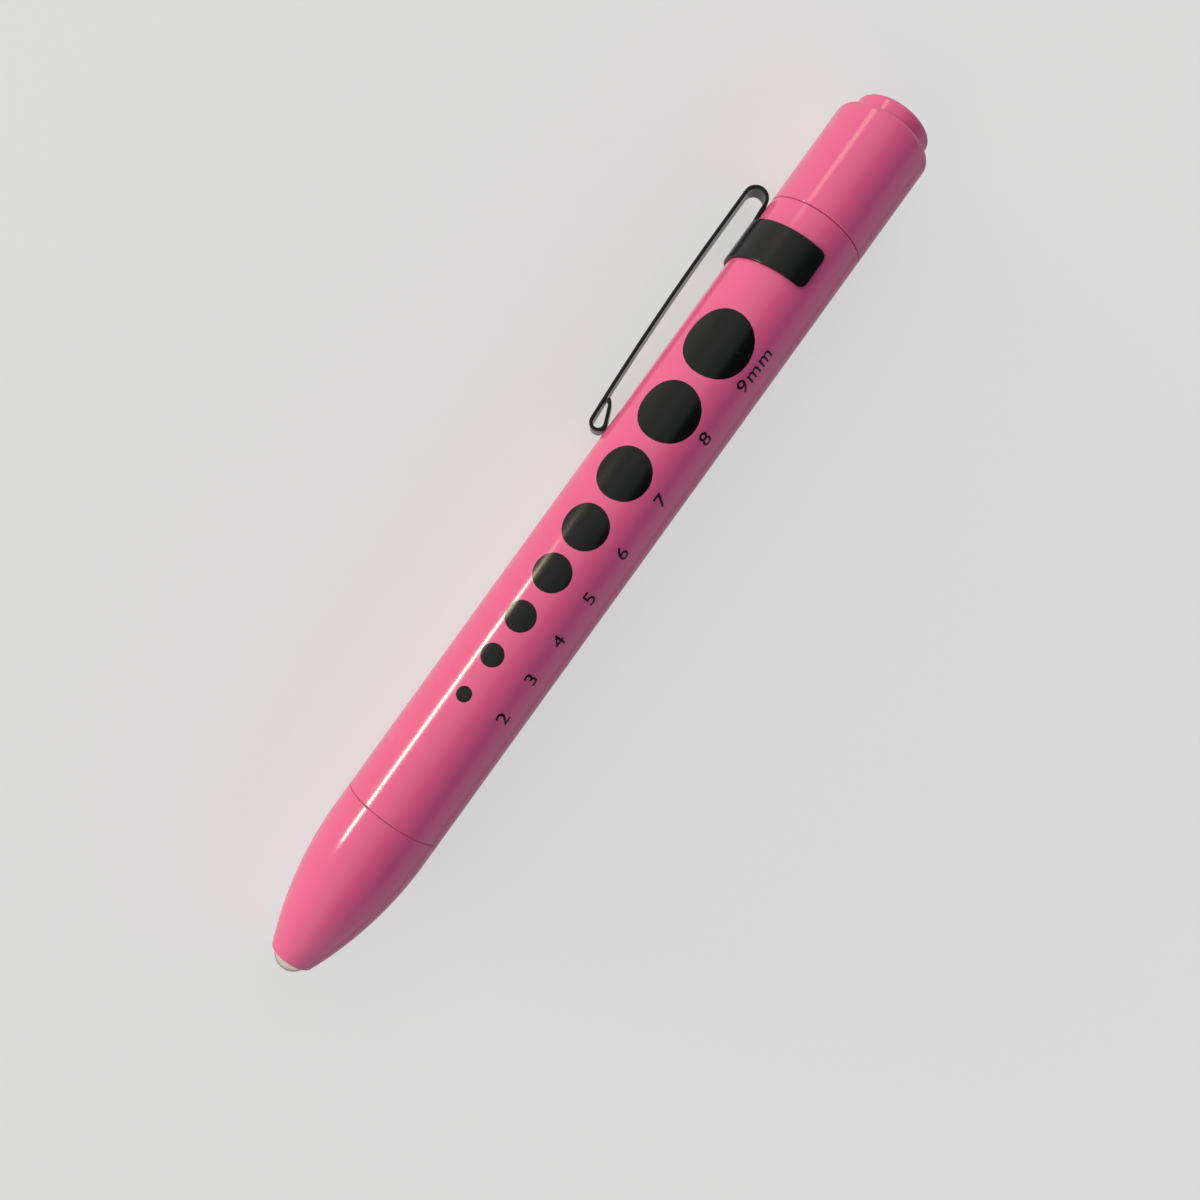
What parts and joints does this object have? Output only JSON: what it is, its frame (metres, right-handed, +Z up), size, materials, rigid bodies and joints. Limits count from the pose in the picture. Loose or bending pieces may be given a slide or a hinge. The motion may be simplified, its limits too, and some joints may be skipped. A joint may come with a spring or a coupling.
{
  "type": "penlight",
  "caption": "Pocket penlight with an ogive head, dome lamp, screw-on tail cap with push button, spring pocket clip and a printed row of gauge dots on the barrel.",
  "frame": {"origin": "on the surface that the pen lies on, under the middle of its bounding box, with the barrel and the outer edge of the clip both touching that surface", "axes": "+X along the pen towards the lamp, +Z up, the clip on the -Y side and pointing down"},
  "size_m": [0.1314, 0.0162, 0.0145],
  "materials": {
    "pink_paint": "gloss sprayed enamel on turned aluminium",
    "black_print": "pad-printed ink, semi gloss",
    "black_spring_steel": "blackened spring steel, satin",
    "clear_epoxy": "cast clear epoxy",
    "tinned_steel": "tinned",
    "white_plastic": "moulded",
    "green_board": "solder mask on glass-epoxy board",
    "black_chip": "ceramic chip with tinned ends",
    "brass": "pressed brass",
    "cell_can": "plated steel can with a plain sleeve",
    "spring_wire": "nickel-plated spring wire",
    "bare_aluminium": "turned",
    "grey_plastic": "moulded acetal"
  },
  "bodies": {
    "barrel": {"barrel": "pink_paint", "front_cell": "cell_can", "rear_cell": "cell_can", "gauge_print": "black_print", "clip_band": "black_spring_steel"},
    "clip_arm": {"clip_arm": "black_spring_steel"},
    "battery_spring": {"battery_spring": "spring_wire"},
    "tail_cap": {"tail_cap": "pink_paint", "retaining_ring": "bare_aluminium", "switch_housing": "white_plastic", "switch_lid": "white_plastic", "fixed_contact": "brass", "side_contact": "brass", "return_spring": "spring_wire"},
    "button": {"button": "pink_paint", "switch_plunger": "grey_plastic", "moving_contact": "brass"},
    "light_unit": {"led": "clear_epoxy", "led_leadframe": "tinned_steel", "led_holder": "white_plastic", "led_board": "green_board", "resistor": "black_chip", "positive_contact": "brass"},
    "head": {"head_shell": "pink_paint"}
  },
  "joints": [
    {"name": "tail_cap_travel", "type": "slide", "parent": "barrel", "child": "battery_spring", "axis": [-1, 0, 0], "range_m": [0, 0.0045], "deforming": ["battery_spring"]},
    {"name": "tail_cap_turn", "type": "hinge", "parent": "battery_spring", "child": "tail_cap", "pos_m": [-0.04829, 0.00135, 0.00675], "axis": [-1, 0, 0], "range_deg": [0, 2160]},
    {"name": "button_press", "type": "slide", "parent": "tail_cap", "child": "button", "axis": [1, 0, 0], "range_m": [0, 0.0015], "stiffness_N_per_m": 600, "springref_m": -0.0012, "deforming": ["return_spring"]},
    {"name": "head_travel", "type": "slide", "parent": "barrel", "child": "light_unit", "axis": [1, 0, 0], "range_m": [0, 0.0045]},
    {"name": "head_turn", "type": "hinge", "parent": "light_unit", "child": "head", "pos_m": [-0.04829, 0.00135, 0.00675], "axis": [1, 0, 0], "range_deg": [0, 2160]},
    {"name": "clip_flex", "type": "hinge", "parent": "barrel", "child": "clip_arm", "pos_m": [-0.04877, -0.00585, 0.00223], "axis": [0, 0.5315, -0.8471], "range_deg": [0, 4.5], "stiffness_Nm_per_rad": 1, "springref_deg": -1.15}
  ],
  "couplings": [
    {"joint": "tail_cap_turn", "follows": "tail_cap_travel", "rad_per_m": 8377.6},
    {"joint": "head_turn", "follows": "head_travel", "rad_per_m": 8377.6}
  ]
}
